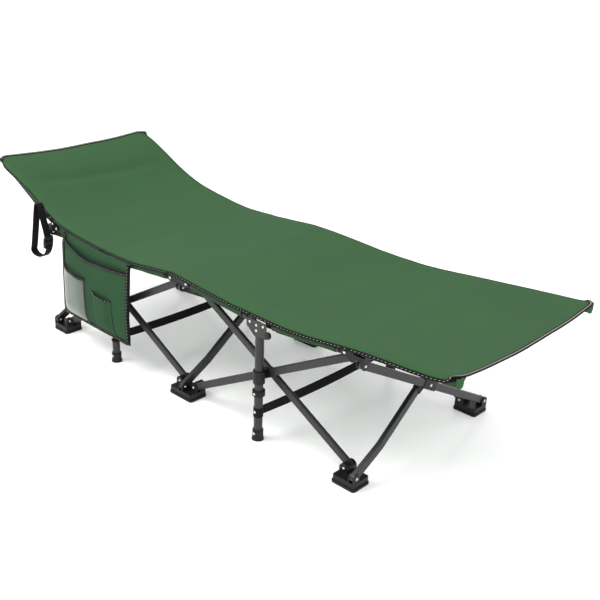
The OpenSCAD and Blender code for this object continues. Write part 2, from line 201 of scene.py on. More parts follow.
def woven(name, colour, pitch, depth, rough=0.85, contrast=0.16, ribs=False):
    """A plain weave whose threads follow the piece's own unwrapping, which is in metres."""
    b = Build(name)
    flat = b.coords("UV")
    scale = 2 * math.pi / WAVE_TURNS / pitch
    weft = threads(b, flat, scale, "X")
    warp = threads(b, flat, scale * (RIB_SHARE if ribs else 1), "Y")
    over = b.math("MULTIPLY", b.math("SUBTRACT", weft, 0.5), b.math("SUBTRACT", warp, 0.5))
    weave = b.math("ADD", b.math("MULTIPLY", over, 2.0), 0.5)
    slub_a = b.noise(1.0, 2, b.stretch(flat, (30, 900, 1)))
    slub_b = b.noise(1.0, 2, b.stretch(flat, (900, 30, 1)))
    slubs = b.math("ADD", slub_a, slub_b)
    cloudy = b.noise(6.0, 3)
    tone = b.math("ADD", b.math("MULTIPLY", weave, 0.35), b.math("MULTIPLY", slubs, 0.2))
    tone = b.math("ADD", tone, b.math("MULTIPLY", cloudy, 0.45))
    base = b.ramp(tone, [(0.25, shade(colour, 1 - contrast)), (0.5, colour),
                         (0.8, shade(colour, 1 + contrast))])
    height = b.math("ADD", weave, b.math("MULTIPLY", slubs, 0.6))
    return b.set(Base_Color=base, Roughness=b.range(cloudy, rough - 0.06, rough + 0.06),
                 Sheen_Weight=0.02, Sheen_Roughness=0.4, Specular_IOR_Level=0.10,
                 Normal=b.bump(height, depth))


def rounded(b, radius):
    """Edges that catch the light as if they had this radius."""
    return b.node("Bevel", {"Radius": radius}, samples=4).outputs["Normal"]


def coated(name, colour, rough, round_r=0.0012):
    """Satin powder coat: fine orange peel, faint rubbing and dust."""
    b = Build(name)
    peel = b.noise(900, 2)
    cloud = b.noise(14, 4)
    rub = b.noise(1.0, 4, b.stretch(b.coords(), (60, 60, 240)))
    base = b.ramp(b.math("ADD", b.math("MULTIPLY", cloud, 0.6), b.math("MULTIPLY", rub, 0.4)),
                  [(0.30, shade(colour, 0.82)), (0.55, colour), (0.75, shade(colour, 1.25))])
    return b.set(Base_Color=base, Roughness=b.range(rub, rough - 0.07, rough + 0.1), Metallic=0.0,
                 Specular_IOR_Level=0.30, Coat_Weight=0.05, Coat_Roughness=0.3,
                 Normal=b.bump(peel, 0.00008, 0.6, rounded(b, round_r)))


def moulded(name, colour, rough, round_r=0.0014, grain=1400, depth=0.0001):
    """Moulded plastic or rubber with a spark-eroded grain."""
    b = Build(name)
    fine = b.noise(grain, 3)
    cloud = b.noise(20, 3)
    dust = b.noise(160, 5)
    base = b.ramp(b.math("ADD", b.math("MULTIPLY", cloud, 0.5), b.math("MULTIPLY", dust, 0.5)),
                  [(0.35, shade(colour, 0.8)), (0.55, colour), (0.75, shade(colour, 1.5))])
    return b.set(Base_Color=base, Roughness=b.range(cloud, rough - 0.08, rough + 0.1),
                 Specular_IOR_Level=0.26, Normal=b.bump(fine, depth, 0.7, rounded(b, round_r)))


def bright(name, colour, rough):
    """Plated steel with fine tool marks and scuffs."""
    b = Build(name)
    marks = b.noise(1.0, 3, b.stretch(b.coords(), (2500, 2500, 2500)))
    scuff = b.noise(300, 4)
    base = b.ramp(scuff, [(0.3, shade(colour, 0.75)), (0.6, colour), (0.8, shade(colour, 1.1))])
    return b.set(Base_Color=base, Metallic=1.0, Roughness=b.range(scuff, rough, rough + 0.18),
                 Normal=b.bump(marks, 0.00003, 0.5))


GREEN = (0.0325, 0.0845, 0.0340)
M_CLOTH = woven("bed_oxford", GREEN, 0.0011, 0.00018)
M_SLEEVE = woven("sleeve_oxford", (0.024, 0.056, 0.026), 0.0011, 0.00018)
M_BAG = woven("organizer_oxford", (0.0215, 0.0610, 0.0275), 0.0011, 0.00018)
M_WEBBING = woven("webbing_black", (0.0065, 0.0065, 0.007), 0.0016, 0.0003, 0.75, 0.5, ribs=True)
M_BINDING = woven("binding_tape", (0.006, 0.006, 0.0062), 0.0009, 0.00012, 0.7, 0.5, ribs=True)
M_PIPING = woven("piping_tape", (0.27, 0.245, 0.22), 0.0009, 0.00012, 0.8, 0.3, ribs=True)
M_THREAD = woven("stitch_thread", (0.46, 0.45, 0.43), 0.0004, 0.00006, 0.7, 0.25)
M_NET = woven("pocket_net", (0.46, 0.48, 0.46), 0.0004, 0.00005, 0.6, 0.25)
M_BAR = coated("bar_coat", (0.021, 0.021, 0.0205), 0.36, 0.0030)
M_LEG = coated("leg_coat", (0.023, 0.023, 0.0225), 0.34, 0.0008)
M_RAIL = coated("rail_coat", (0.023, 0.023, 0.0225), 0.36, 0.0008)
M_NYLON = moulded("block_nylon", (0.0055, 0.0055, 0.0057), 0.40)
M_RUBBER = moulded("foot_rubber", (0.008, 0.008, 0.008), 0.58, grain=800, depth=0.00015)
M_BUCKLE = moulded("buckle_acetal", (0.008, 0.008, 0.0085), 0.28, 0.001)
M_RIVET = bright("rivet_steel", (0.66, 0.655, 0.64), 0.26)

# The first key that a CAD node's name starts with gives its look.
LOOKS = {"side_bar": M_BAR, "cross_bar": M_BAR, "leg_fittings": M_RUBBER, "leg_collar": M_NYLON,
         "foot_block": M_NYLON, "rail_bracket": M_NYLON, "rail_": M_RAIL, "leg_": M_LEG}
for node_name, obj in NODES.items():
    look = next((m for key, m in LOOKS.items() if node_name.startswith(key)), None)
    if look:
        obj.data.materials.clear()
        obj.data.materials.append(look)

# ---------------------------------------------------------------- mesh tools


def piece(name, verts, faces, material, uv=None, smooth=True, normals=None):
    """A new mesh object; uv and normals are per vertex."""
    mesh = bpy.data.meshes.new(name)
    mesh.from_pydata([tuple(map(float, v)) for v in verts], [], [tuple(map(int, f)) for f in faces])
    mesh.update()
    obj = bpy.data.objects.new(name, mesh)
    scene.collection.objects.link(obj)
    mesh.materials.append(material)
    mesh.polygons.foreach_set("use_smooth", [smooth] * len(mesh.polygons))
    if uv is not None:
        layer = mesh.uv_layers.new(name="UVMap")
        index = np.zeros(len(mesh.loops), int)
        mesh.loops.foreach_get("vertex_index", index)
        layer.data.foreach_set("uv", np.asarray(uv, float)[index].ravel())
    if normals is not None:
        mesh.normals_split_custom_set_from_vertices([tuple(map(float, n)) for n in normals])
    return obj


def grid_faces(rows, cols, start=0, flip=False, wrap=False):
    """Quads of a grid of points, closed across its columns if wrap is set."""
    out = []
    for i in range(rows - 1):
        low, high = start + i * cols, start + (i + 1) * cols
        for j in range(cols if wrap else cols - 1):
            k = (j + 1) % cols
            f = [low + j, low + k, high + k, high + j]
            out.append(f[::-1] if flip else f)
    return out


def grid_normals(p):
    """Unit normals of a grid of points."""
    du = np.gradient(p, axis=0)
    dv = np.gradient(p, axis=1)
    n = np.cross(du, dv)
    return n / np.maximum(np.linalg.norm(n, axis=2, keepdims=True), 1e-12)


def arc(p, axis):
    """Lengths along one axis of a grid of points, from its first line."""
    step = np.linalg.norm(np.diff(p, axis=axis), axis=2)
    pad = [(0, 0), (0, 0)]
    pad[axis] = (1, 0)
    return np.cumsum(np.pad(step, pad), axis=axis)


def run_along(path):
    """Length from the path's start to each of its points."""
    return np.concatenate([[0], np.cumsum(np.linalg.norm(np.diff(path, axis=0), axis=1))])


def sheet_piece(name, p, material, thick=0.0011, normals=None, uv=None):
    """A closed thin sheet on a grid of points; its thickness goes against the normals."""
    rows, cols = p.shape[:2]
    n = grid_normals(p) if normals is None else normals
    top = p.reshape(-1, 3)
    low = (p - n * thick).reshape(-1, 3)
    count = rows * cols
    faces = grid_faces(rows, cols) + grid_faces(rows, cols, count, flip=True)
    rim = [i * cols for i in range(rows)] + [(rows - 1) * cols + j for j in range(1, cols)]
    rim += [i * cols + cols - 1 for i in range(rows - 2, -1, -1)] + [j for j in range(cols - 2, 0, -1)]
    for a, b in zip(rim, rim[1:] + rim[:1]):
        faces.append([a, b, b + count, a + count])
    if (grid_normals(p) * n).sum() > 0:
        faces = [f[::-1] for f in faces]
    if uv is None:
        uv = np.stack([arc(p, 0), arc(p, 1)], axis=2)
    flat = uv.reshape(-1, 2)
    return piece(name, np.vstack([top, low]), faces, material, np.vstack([flat, flat]),
                 normals=np.vstack([n.reshape(-1, 3), -n.reshape(-1, 3)]))


def tube(name, path, radius, material, hint, sides=8):
    """A round cord along a path; hint is a direction that the path never takes."""
    t = np.gradient(path, axis=0)
    t /= np.linalg.norm(t, axis=1, keepdims=True)
    side = np.cross(t, np.asarray(hint, float))
    side /= np.maximum(np.linalg.norm(side, axis=1, keepdims=True), 1e-9)
    over = np.cross(side, t)
    ring = np.linspace(0, 2 * math.pi, sides, endpoint=False)
    wide, tall = np.cos(ring)[None, :, None], np.sin(ring)[None, :, None]
    p = path[:, None] + radius * (wide * side[:, None] + tall * over[:, None])
    rows = len(path)
    faces = grid_faces(rows, sides, flip=True, wrap=True)
    faces += [list(range(sides)), [(rows - 1) * sides + j for j in range(sides)][::-1]]
    uv = np.stack(np.broadcast_arrays(run_along(path)[:, None], (ring * radius)[None]), axis=2)
    return piece(name, p.reshape(-1, 3), faces, material, uv.reshape(-1, 2))


def band_grid(path, across, width, cols=5):
    """Points of a flat tape along a path, with its width along the given directions."""
    w = np.linspace(-0.5, 0.5, cols) * width
    return np.asarray(path)[:, None] + w[None, :, None] * np.asarray(across)[:, None]


def joined(name, parts, material):
    """One piece from several (verts, faces, uv) lots."""
    verts, faces, uvs, count = [], [], [], 0
    for v, f, u in parts:
        verts.append(v)
        uvs.append(u)
        faces += [[i + count for i in face] for face in f]
        count += len(v)
    return piece(name, np.vstack(verts), faces, material, np.vstack(uvs))


STITCH_PITCH = 0.0115
STITCH_LENGTH = 0.0047
STITCH_R = 0.00045
STITCH_LIFT = 0.0002
# Along each stitch: share of its length, share of its radius, and height over the cloth in radii.
STITCH_ARCH = ((0, 0.35, -0.6), (0.25, 1, 0.5), (0.75, 1, 0.5), (1, 0.35, -0.6))
STITCH_SIDES = 6


def stitch_lot(path, normals):
    """Short raised threads along a path that lies on cloth."""
    run = run_along(path)
    ring = np.linspace(0, 2 * math.pi, STITCH_SIDES, endpoint=False)
    rows = len(STITCH_ARCH)
    last = (rows - 1) * STITCH_SIDES
    f = grid_faces(rows, STITCH_SIDES, flip=True, wrap=True)
    f += [list(range(STITCH_SIDES)), [last + k for k in range(STITCH_SIDES)][::-1]]
    u = np.array([(q * STITCH_LENGTH, w * STITCH_R) for q, _, _ in STITCH_ARCH for w in ring])

    def at(s, values):
        return np.array([np.interp(s, run, values[:, k]) for k in range(3)])

    lots = []
    for s in np.arange(STITCH_PITCH / 2, run[-1] - STITCH_PITCH / 2, STITCH_PITCH):
        a, b = at(s - STITCH_LENGTH / 2, path), at(s + STITCH_LENGTH / 2, path)
        n = at(s, normals)
        n /= np.linalg.norm(n)
        side = np.cross((b - a) / np.linalg.norm(b - a), n)
        v = []
        for q, r, h in STITCH_ARCH:
            c = a + (b - a) * q + n * (STITCH_LIFT + h * STITCH_R)
            v += [c + STITCH_R * r * (math.cos(w) * side + math.sin(w) * n) for w in ring]
        lots.append((np.array(v), f, u))
    return lots


def block(name, size, material, soft, turn, at):
    """A box with rounded edges, made by a bevel, turned about its own middle and set down at a point."""
    bm = bmesh.new()
    bmesh.ops.create_cube(bm, size=1)
    for v in bm.verts:
        v.co = Vector((size[k] * v.co[k] for k in range(3)))
    bmesh.ops.bevel(bm, geom=list(bm.edges), offset=soft, segments=3, profile=0.6, affect="EDGES")
    bmesh.ops.transform(bm, matrix=Matrix.Translation(Vector(at)) @ turn, verts=bm.verts)
    mesh = bpy.data.meshes.new(name)
    bm.to_mesh(mesh)
    bm.free()
    obj = bpy.data.objects.new(name, mesh)
    scene.collection.objects.link(obj)
    mesh.materials.append(material)
    mesh.polygons.foreach_set("use_smooth", [True] * len(mesh.polygons))
    mesh.set_sharp_from_angle(angle=math.radians(50))
    return obj


def turned(profile, at, axis, sides=20):
    """A lathe lot: (radius, height) points turned about an axis."""
    axis = Vector(axis).normalized()
    spin = axis.to_track_quat("Z", "Y").to_matrix()
    ring = [2 * math.pi * k / sides for k in range(sides)]
    verts, uvs = [], []
    for r, h in profile:
        for w in ring:
            verts.append(Vector(at) + spin @ Vector((r * math.cos(w), r * math.sin(w), h)))
            uvs.append((w * r, h))
    rows = len(profile)
    faces = grid_faces(rows, sides, wrap=True)
    faces += [list(range(sides))[::-1], [(rows - 1) * sides + j for j in range(sides)]]
    return np.array([tuple(v) for v in verts]), faces, np.array(uvs)


def dressed(obj, body="organizer"):
    """Attaches a piece to the body that it rides."""
    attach(obj, body)
    return obj


# Domed head: radius and height.
RIVET = ((0.0052, -0.0012), (0.0052, 0.0003), (0.0047, 0.0011), (0.0036, 0.0019), (0.0020, 0.0024),
         (0.0006, 0.0025))
RIVET_WIDTH = 0.84
PLATE_STOP = ((0.0070, -0.004), (0.0098, -0.0035), (0.0102, -0.002), (0.0102, 0.003), (0.0096, 0.0042),
              (0.0070, 0.0046))


def rivets(name, body, spots, size=1.0):
    """Rivet heads at (place, direction) spots, as one piece."""
    profile = [(r * size * RIVET_WIDTH, h * size) for r, h in RIVET]
    dressed(joined(name, [turned(profile, at, axis) for at, axis in spots], M_RIVET), body)


TAPE_T = 0.0007


def edge_tape(name, path, inward, front, width, body="organizer", back=0.0030, thick=TAPE_T):
    """A tape folded over a sheet's edge, with its row of stitches; back is how far behind it reaches."""
    section = ((width, 0.0010), (width * 0.5, 0.0014), (0.0006, 0.0016), (-0.0010, 0.0004),
               (-0.0010, -back + 0.0004), (0.0006, -back - 0.0012), (width, -back - 0.0008))
    p = np.stack([path + inward * d + front * h for d, h in section], axis=1)
    n = grid_normals(p)
    if (n[:, 1] * front).sum() < 0:
        n = -n
    tape = dressed(sheet_piece(name, p, M_BINDING, thick, normals=n), body)
    lots = stitch_lot(path + inward * width * 0.55 + front * 0.0015, front)
    return [tape, dressed(joined(name + "_stitch", lots, M_THREAD), body)]


def smooth_line(x, knots, blur):
    """Straight lines between knots, with their corners rounded."""
    xs, zs = np.array([k[0] for k in knots]), np.array([k[1] for k in knots])
    steps = np.linspace(-1, 1, 9) * blur
    return np.mean([np.interp(np.asarray(x) + s, xs, zs) for s in steps], axis=0)


# ---------------------------------------------------------------- bed cloth

# Height of the cloth's crease over the rails, and of its near hem, along the bed.
CREASE = ((-0.960, 0.5685), (-0.885, 0.543), (-0.826, 0.516), (-0.767, 0.487), (-0.732, 0.470),
          (-0.690, 0.453), (-0.652, 0.439), (-0.600, 0.424), (-0.520, 0.411), (-0.430, 0.400),
          (-0.332, 0.393), (-0.220, 0.396), (-0.120, 0.402), (-0.027, 0.408), (0.062, 0.406),
          (0.147, 0.401), (0.240, 0.395), (0.332, 0.392), (0.430, 0.393), (0.522, 0.399),
          (0.600, 0.407), (0.650, 0.412), (0.698, 0.4155), (0.771, 0.4215), (0.827, 0.426),
          (0.882, 0.431), (0.921, 0.435), (0.960, 0.440))
HEM = ((-0.960, 0.5640), (-0.944, 0.552), (-0.921, 0.534), (-0.885, 0.522), (-0.826, 0.502),
       (-0.767, 0.478), (-0.732, 0.460), (-0.690, 0.440), (-0.652, 0.422), (-0.605, 0.402),
       (-0.560, 0.394), (-0.510, 0.388), (-0.373, 0.378), (-0.332, 0.376), (-0.218, 0.377),
       (-0.120, 0.386), (-0.027, 0.398), (0.062, 0.394), (0.147, 0.387), (0.228, 0.380),
       (0.306, 0.377), (0.381, 0.376), (0.453, 0.377), (0.522, 0.382), (0.620, 0.394),
       (0.698, 0.401), (0.771, 0.405), (0.827, 0.408), (0.882, 0.411), (0.921, 0.416),
       (0.944, 0.425), (0.960, 0.435))
# How far the cloth sags at the bed's middle line.
SAG = ((-0.960, 0.010), (-0.80, 0.016), (-0.66, 0.020), (-0.50, 0.014), (0.0, 0.011), (0.6, 0.012),
       (0.80, 0.015), (0.960, 0.017))
# Pull marks over the brackets and the legs: place, depth and reach along the bed.
MARKS = ((-T_X, 0.0022, 0.055), (0.0, 0.0016, 0.05), (T_X, 0.0016, 0.05),
         (-LEG_X, -0.0014, 0.06), (LEG_X, -0.0014, 0.06))
HEM_Y = RAIL_Y + 0.0150
TIP = HALF + 0.004
# The cloth's bend over a rail: how far out of the hem's line, and share of the way up to the crease.
BEND = ((0.0, 0.0), (0.0008, 0.30), (0.0004, 0.58), (-0.0022, 0.84), (-0.0075, 0.975), (-0.0150, 1.0))
# The soft fold across the headrest.
FOLD_X = -0.80
FOLD_DEPTH = 0.0095
FOLD_REACH = 0.021
# The rounding of the cloth's corners in plan.
CORNER = 0.030
CORNER_CUT = 0.020


def crease(x):
    return smooth_line(x, CREASE, 0.022)


def hem(x, side):
    """Height of the hem; the far one is drawn up tight under its crease."""
    z = smooth_line(x, HEM, 0.015)
    return z if side == "near" else crease(x) - 0.0035 - 0.1 * (crease(x) - z)


def cloth_z(x, y):
    """Height of the stretched cloth inside its creases, with sag and pull marks from the frame."""
    share = np.clip(np.abs(y) / (RAIL_Y - 0.012), 0, 1)
    z = crease(x) - smooth_line(x, SAG, 0.05) * (1 - share ** 2.2)
    for at, depth, reach in MARKS:
        off = (x - at) / reach
        z = z + depth * np.exp(-off ** 2) * np.cos(off * 1.9) * (0.35 + 0.65 * share ** 2)
    fold = x - FOLD_X - 0.05 * y - 0.10 * y * y
    return z - FOLD_DEPTH * np.exp(-(fold / FOLD_REACH) ** 2) * (1 - share ** 3)


# Lines across the bed: the panels' borders, and an even spacing between them.
PIVOTS = np.array([-TIP, -TIP + 0.0012, -END_X, -T_X, -LEG_X - LEG_PIVOT_X, -LEG_X + LEG_PIVOT_X, -MID_X,
                   MID_X, LEG_X - LEG_PIVOT_X, LEG_X + LEG_PIVOT_X, T_X, END_X, TIP - 0.0012, TIP])
xs = np.linspace(-HALF + 0.002, HALF - 0.002, 190)
xs = xs[np.abs(xs[:, None] - PIVOTS).min(axis=1) > 0.0015]
xs = np.sort(np.concatenate([xs, PIVOTS]))
inner = np.linspace(-1, 1, 43) * (RAIL_Y - 0.014)


def row_at(x):
    """The cross-section of the bed cloth from its near hem to its far hem."""
    zc = float(crease(x))
    out = []
    for side in ("near", "far"):
        s = WAY[side]
        zh = float(hem(x, side))
        edge = [(s * (HEM_Y + dy), zh + share * (zc - zh)) for dy, share in BEND]
        out.append(edge if side == "near" else edge[::-1])
    middle = [(y, float(cloth_z(x, y))) for y in inner]
    # The corners of the cloth are rounded in plan, and the whole cloth is slightly uneven.
    room = TIP - abs(x)
    pts = []
    for y, z in out[0] + middle + out[1]:
        at = x
        if room < CORNER:
            near_corner = max(0.0, abs(y) - (HEM_Y - CORNER)) / CORNER
            at = math.copysign(abs(x) - CORNER_CUT * near_corner ** 2 * (1 - room / CORNER), x)
        uneven = 0.0019 * noise.noise(Vector((x * 6, y * 8, 0)))
        uneven += 0.0006 * noise.noise(Vector((x * 26, y * 11, 3)))
        pts.append((at, MID + y, z + uneven))
    return pts


cloth = np.array([row_at(x) for x in xs])
cloth_n = grid_normals(cloth)
if cloth_n[len(xs) // 2, cloth.shape[1] // 2, 2] < 0:
    cloth_n = -cloth_n
cloth_uv = np.stack([np.broadcast_to(xs[:, None], cloth.shape[:2]), arc(cloth, 1)], axis=2)

# One panel for each stretch that rides a different rail, bracket or leg.
PANELS = (
    ("head", -TIP, -END_X, "rail_end_head_near", "rail_end_head_far"),
    ("bridge_head", -END_X, -T_X, "rail_bracket_head_near", "rail_bracket_head_far"),
    ("outer_head", -T_X, -LEG_X - LEG_PIVOT_X, "rail_outer_head_near", "rail_outer_head_far"),
    ("leg_head", -LEG_X - LEG_PIVOT_X, -LEG_X + LEG_PIVOT_X, "leg_head_near", "leg_head_far"),
    ("inner_head", -LEG_X + LEG_PIVOT_X, -MID_X, "rail_inner_head_near", "rail_inner_head_far"),
    ("bridge_middle", -MID_X, MID_X, "rail_bracket_middle_near", "rail_bracket_middle_far"),
    ("inner_foot", MID_X, LEG_X - LEG_PIVOT_X, "rail_inner_foot_near", "rail_inner_foot_far"),
    ("leg_foot", LEG_X - LEG_PIVOT_X, LEG_X + LEG_PIVOT_X, "leg_foot_near", "leg_foot_far"),
    ("outer_foot", LEG_X + LEG_PIVOT_X, T_X, "rail_outer_foot_near", "rail_outer_foot_far"),
    ("bridge_foot", T_X, END_X, "rail_bracket_foot_near", "rail_bracket_foot_far"),
    ("foot", END_X, TIP, "rail_end_foot_near", "rail_end_foot_far"),
)
HEM_TAPE = 0.0095
FAR_RISE = (0.0, -0.80, 0.60)  # the far tape's way in from its edge; the near one follows the cloth
REPLACED = {"head": "bed_cloth_head", "outer_head": "bed_cloth_middle_head",
            "outer_foot": "bed_cloth_middle_foot", "foot": "bed_cloth_foot"}


def fold_flat(obj):
    """Gives a piece its own copy of its mesh."""
    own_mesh(obj)


def span(lo, hi):
    return np.where((xs >= lo - 1e-4) & (xs <= hi + 1e-4))[0]


for key, lo, hi, near_body, far_body in PANELS:
    pick = span(lo, hi)
    p = cloth[pick]
    top = sheet_piece("bed_panel_" + key, p, M_CLOTH, normals=cloth_n[pick], uv=cloth_uv[pick])
    dressed(top, near_body)
    if key in REPLACED:
        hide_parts(REPLACED[key])
    trims = []
    for side, body, col in (("near", near_body, 0), ("far", far_body, -1)):
        s = WAY[side]
        path = p[:, col] + np.array((0, s * 0.0006, -0.0004))
        rise = np.tile(FAR_RISE, (len(path), 1))
        if side == "near":
            rise = p[:, 2] - p[:, 0]
            rise /= np.linalg.norm(rise, axis=1, keepdims=True)
        out = np.stack([0 * rise[:, 0], s * rise[:, 2], -s * rise[:, 1]], axis=1)
        trims += edge_tape("hem_tape_%s_%s" % (key, side), path, rise, out, HEM_TAPE, body)
    fold_flat(top)

# Piping across the two ends: dark, light, dark. Each has how far out and how far up it lies.
PIPING = ((-0.0030, 0.0002, 0.0023, M_BINDING, "binding"), (0.0004, 0.0012, 0.0016, M_PIPING, "piping"),
          (0.0038, 0.0002, 0.0023, M_BINDING, "binding"))
for key, row, next_row in (("head", 0, 1), ("foot", -1, -2)):
    line = cloth[row][1:-1]
    slope = cloth[next_row][1:-1] - line
    slope /= np.linalg.norm(slope, axis=1, keepdims=True)
    for k, (out, lift, radius, material, slot) in enumerate(PIPING):
        path = line - slope * out + cloth_n[row][1:-1] * lift
        cord = tube("end_piping_%s_%d" % (key, k), path, radius, material, (1, 0, 0.3))
        fold_flat(dressed(cord, "rail_end_%s_near" % key))

# ---------------------------------------------------------------- sleeves round the rails


def rail_z(x):
    """Height of the rails' middle line at x."""
    a = abs(x)
    if x < -END_X:
        return END_Z + (a - END_X) * math.tan(HEAD_SLOPE)
    if x > END_X:
        return END_Z + (a - END_X) * math.tan(FOOT_SLOPE)
    knots = (0, MID_X, LEG_X - LEG_PIVOT_X, LEG_X + LEG_PIVOT_X, T_X, END_X)
    return float(np.interp(a, knots, (T_Z, T_Z, LEG_PIVOT_Z, LEG_PIVOT_Z, T_Z, END_Z)))


# Where the bare rail shows: next to a leg, a bracket and the middle bracket.
LEG_GAP = 0.040
BRACKET_GAP = 0.030
MIDDLE_GAP = 0.026
SLEEVES = (
    ("end_head", -HALF - 0.001, -END_X - BRACKET_GAP),
    ("outer_head", -T_X + BRACKET_GAP, -LEG_X - LEG_PIVOT_X - LEG_GAP),
    ("inner_head", -LEG_X + LEG_PIVOT_X + LEG_GAP, -MID_X - MIDDLE_GAP),
    ("inner_foot", MID_X + MIDDLE_GAP, LEG_X - LEG_PIVOT_X - LEG_GAP),
    ("outer_foot", LEG_X + LEG_PIVOT_X + LEG_GAP, T_X - BRACKET_GAP),
    ("end_foot", END_X + BRACKET_GAP, HALF + 0.001),
)
SLEEVE_R = RAIL_R + 0.0016
SLEEVE_STEP = 0.008
POCKET_R = RAIL_R + 0.0015
for key, lo, hi in SLEEVES:
    for side in SIDES:
        s = WAY[side]
        rows = []
        for x in np.linspace(lo, hi, max(12, int((hi - lo) / SLEEVE_STEP))):
            zr, zh = rail_z(x), float(hem(x, side))
            r = SLEEVE_R + 0.0012 * noise.noise(Vector((x * 22, s * 2.0, 0.3)))
            ring = [(HEM_Y - 0.0012, zh + 0.0015)]
            ring += [(RAIL_Y + r * math.cos(w) + 0.0004, zr - r * math.sin(w))
                     for w in np.linspace(0.05, math.pi - 0.05, 11)]
            inside = float(cloth_z(x, s * (RAIL_Y - 0.026)))
            ring += [(RAIL_Y - 0.0175, zr + 0.35 * (inside - zr)), (RAIL_Y - 0.024, inside - 0.0022)]
            rows.append([(x, MID + s * y, z) for y, z in ring])
        p = np.array(rows)
        n = grid_normals(p)
        n = n if n[:, 4, 1].mean() * s > 0 else -n
        wrap = sheet_piece("sleeve_%s_%s" % (key, side), p, M_SLEEVE, 0.0009, normals=n)
        body = "rail_%s_%s" % (key, side)
        dressed(wrap, body)

# Closed pocket ends over the rails' tips at the four corners.
for module in MODULES:
    for side in SIDES:
        s, w = WAY[side], WAY[module]
        tip_z = rail_z(w * HALF)
        top_z = float(crease(w * HALF)) - 0.0008
        rows = []
        for y in np.linspace(RAIL_Y - 0.017, HEM_Y + 0.0002, 9):
            q = (y - RAIL_Y) / 0.016
            low = tip_z - POCKET_R * math.sqrt(max(0.12, 1 - q * q))
            end = TIP - 0.0065 * abs(q) ** 3
            rows.append([(w * (end + 0.0012 * math.sin(math.pi * v)), MID + s * y, top_z + (low - top_z) * v)
                         for v in np.linspace(0, 1, 7)])
        p = np.array(rows)
        n = grid_normals(p)
        n = n if n[4, 3, 0] * w > 0 else -n
        cap = sheet_piece("corner_pocket_%s_%s" % (module, side), p, M_CLOTH, 0.0010, normals=n)
        body = "rail_end_%s_%s" % (module, side)
        dressed(cap, body)

# ---------------------------------------------------------------- rivets and small frame pieces

CROSSING_Z = (TOP_Z + FOOT_Z) / 2
TAB_OUT = 0.01015  # half the thickness of the tabs that hold the cross bars
COLLAR_IN = 0.2515
# Rivets on a leg: x and z on its yoke, then y and z on its tube and its foot.
YOKE_SPOTS = ((-LEG_PIVOT_X, LEG_PIVOT_Z), (LEG_PIVOT_X, LEG_PIVOT_Z), (0, 0.359), (0, 0.343))
TUBE_SPOTS = ((LEG_Y + 0.018, 0.150), (LEG_Y + 0.016, 0.022))


def on(side, x, y, z):
    """A point on one side of the bed, y being measured outwards from its middle line."""
    return (x, MID + WAY[side] * y, z)


def cross_pins(side, x, z):
    """The two rivet heads of a cross bar's pin."""
    return [(on(side, x + way * TAB_OUT, CROSS_Y, z), (way, 0, 0)) for way in (1, -1)]


for side in SIDES:
    s = WAY[side]
    out, inward = (0, s, 0), (0, -s, 0)
    for st in STATIONS:
        w = WAY[st]
        tops = [(-MID_X, T_Z), (MID_X, T_Z)] if st == "middle" else [(w * T_X, T_Z), (w * END_X, END_Z)]
        bars = (-SIDE_PIN_X, SIDE_PIN_X) if st == "middle" else (w * (BAR_REACH_X + SIDE_PIN_X),)
        spots = [(on(side, x, EAR_OUT, z), out) for x, z in tops]
        spots += [(on(side, x, BLOCK_IN, TOP_Z), inward) for x in bars]
        spots += cross_pins(side, w * CROSS_X, TOP_Z)
        rivets("bracket_rivets_%s_%s" % (st, side), "rail_bracket_%s_%s" % (st, side), spots)
        spots = []
        for x in bars:
            spots += [(on(side, x, CHEEK_OUT, FOOT_Z), out), (on(side, x, BLOCK_IN, FOOT_Z), inward)]
        spots += cross_pins(side, w * CROSS_X, FOOT_Z)
        rivets("foot_rivets_%s_%s" % (st, side), "foot_block_%s_%s" % (st, side), spots)
    for m in MODULES:
        w = WAY[m]
        leg = "leg_%s_%s" % (m, side)
        x = w * LEG_X
        spots = [(on(side, x + dx, PLATE_OUT, z), out) for dx, z in YOKE_SPOTS]
        spots += [(on(side, x, y, z), out) for y, z in TUBE_SPOTS]
        rivets("leg_rivets_%s_%s" % (m, side), leg, spots, 0.9)
        stop = turned(PLATE_STOP, on(side, x + 0.042, LEG_Y + 0.0125, 0.3415), out, 28)
        dressed(joined("plate_stop_%s_%s" % (m, side), [stop], M_NYLON), leg)
        rivets("collar_rivets_%s_%s" % (m, side), "leg_collar_%s_%s" % (m, side),
               [(on(side, x, COLLAR_IN, CROSSING_Z), inward)], 1.1)

